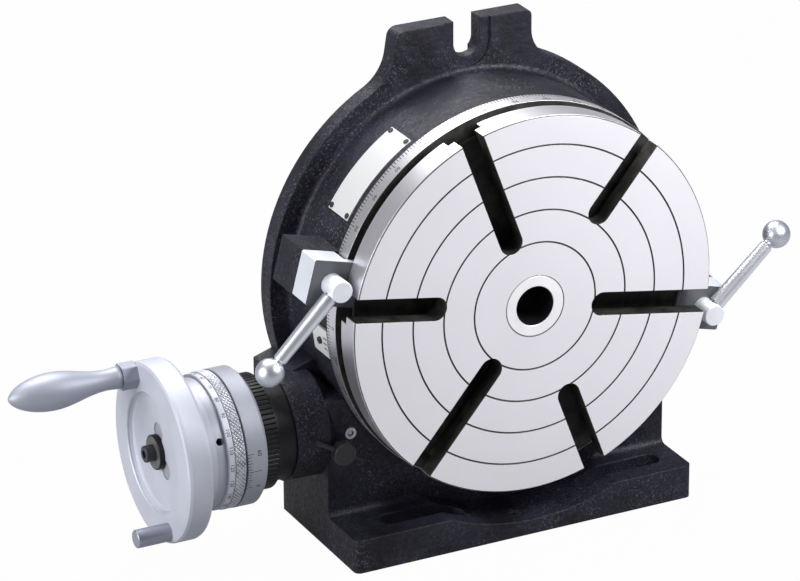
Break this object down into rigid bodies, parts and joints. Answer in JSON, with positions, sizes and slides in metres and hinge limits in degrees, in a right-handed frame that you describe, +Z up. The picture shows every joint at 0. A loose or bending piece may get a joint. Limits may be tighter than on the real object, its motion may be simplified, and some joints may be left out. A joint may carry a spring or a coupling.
{
  "type": "horizontal vertical rotary table",
  "caption": "Slotted round work table on an angle-shaped base, turned by a handwheel through a worm gear, with two lever clamps and graduated dials.",
  "frame": {"origin": "underside of the foot, below the table axis, in the middle plane of the worm wheel", "axes": "+Z up, +Y along the table axis from the table face to the rear seating face, +X to the right seen from the table face; the handwheel is toward -X"},
  "size_m": [0.6052, 0.151, 0.3775],
  "materials": {
    "black_casting": "black paint over casting, matte",
    "ground_steel": "finely turned and ground",
    "sleeve_steel": "hardened and ground",
    "bronze": "machined",
    "black_oxide": "black oxide, satin",
    "gloss_black": "gloss black",
    "satin_chrome": "satin chrome",
    "wheel_alloy": "turned, satin",
    "inner_steel": "machined",
    "plate_metal": "bare brushed plate"
  },
  "bodies": {
    "base": {"base_casting": "black_casting", "spindle_bush": "bronze", "name_plate": "plate_metal", "plate_rivets": "plate_metal", "index_plate": "satin_chrome", "oiler": "satin_chrome", "drain_plug": "black_oxide", "clamp_studs": "inner_steel"},
    "table": {"table_disc": "ground_steel", "spindle": "inner_steel", "hub_screws": "black_oxide", "taper_sleeve": "sleeve_steel", "worm_wheel": "bronze", "wheel_screws": "black_oxide", "spindle_nut": "inner_steel"},
    "sleeve": {"eccentric_sleeve": "gloss_black", "journal_bushes": "bronze", "vernier_ring": "satin_chrome"},
    "worm": {"worm_shaft": "inner_steel", "shaft_key": "inner_steel", "dial_hub": "satin_chrome", "dial_set_screw": "black_oxide", "handwheel": "wheel_alloy", "center_screw": "black_oxide", "center_washer": "black_oxide", "handle_pin": "satin_chrome", "balance_pin": "satin_chrome"},
    "dial": {"dial_ring": "satin_chrome"},
    "handle": {"handle_grip": "satin_chrome"},
    "left_clamp": {"left_clamp_block": "satin_chrome"},
    "left_lever": {"left_clamp_nut": "satin_chrome", "left_clamp_rod": "satin_chrome", "left_clamp_ball": "satin_chrome"},
    "right_clamp": {"right_clamp_block": "satin_chrome"},
    "right_lever": {"right_clamp_nut": "satin_chrome", "right_clamp_rod": "satin_chrome", "right_clamp_ball": "satin_chrome"},
    "lock": {"lock_screw": "black_oxide", "lock_bar": "black_oxide"}
  },
  "joints": [
    {"name": "table_spin", "type": "hinge", "parent": "base", "child": "table", "pos_m": [0, -0.03, 0.187], "axis": [0, 1, 0], "continuous": true},
    {"name": "sleeve_turn", "type": "hinge", "parent": "base", "child": "sleeve", "pos_m": [-0.19, 0.005, 0.094], "axis": [1, 0, 0], "range_deg": [0, 75]},
    {"name": "worm_spin", "type": "hinge", "parent": "sleeve", "child": "worm", "pos_m": [-0.24, 0, 0.094], "axis": [1, 0, 0], "continuous": true},
    {"name": "dial_set", "type": "hinge", "parent": "worm", "child": "dial", "pos_m": [-0.232, 0, 0.094], "axis": [1, 0, 0], "continuous": true},
    {"name": "handle_spin", "type": "hinge", "parent": "worm", "child": "handle", "pos_m": [-0.33, 0.02775, 0.14686], "axis": [1, 0, 0], "continuous": true},
    {"name": "lock_turn", "type": "hinge", "parent": "base", "child": "lock", "pos_m": [-0.143, -0.0465, 0.0835], "axis": [0, 1, 0], "range_deg": [-90, 0]},
    {"name": "left_clamp_slide", "type": "slide", "parent": "base", "child": "left_clamp", "axis": [0, 1, 0], "range_m": [-0.0002, 0.0003]},
    {"name": "left_lever_turn", "type": "hinge", "parent": "left_clamp", "child": "left_lever", "pos_m": [-0.15718, -0.068, 0.22824], "axis": [0, 1, 0], "range_deg": [-40, 60]},
    {"name": "right_clamp_slide", "type": "slide", "parent": "base", "child": "right_clamp", "axis": [0, 1, 0], "range_m": [-0.0002, 0.0003]},
    {"name": "right_lever_turn", "type": "hinge", "parent": "right_clamp", "child": "right_lever", "pos_m": [0.15718, -0.068, 0.14576], "axis": [0, 1, 0], "range_deg": [-40, 60]}
  ],
  "couplings": [
    {"joint": "table_spin", "follows": "worm_spin", "ratio": 0.011111},
    {"joint": "left_clamp_slide", "follows": "left_lever_turn", "m_per_rad": 0.00027852},
    {"joint": "right_clamp_slide", "follows": "right_lever_turn", "m_per_rad": 0.00027852}
  ]
}
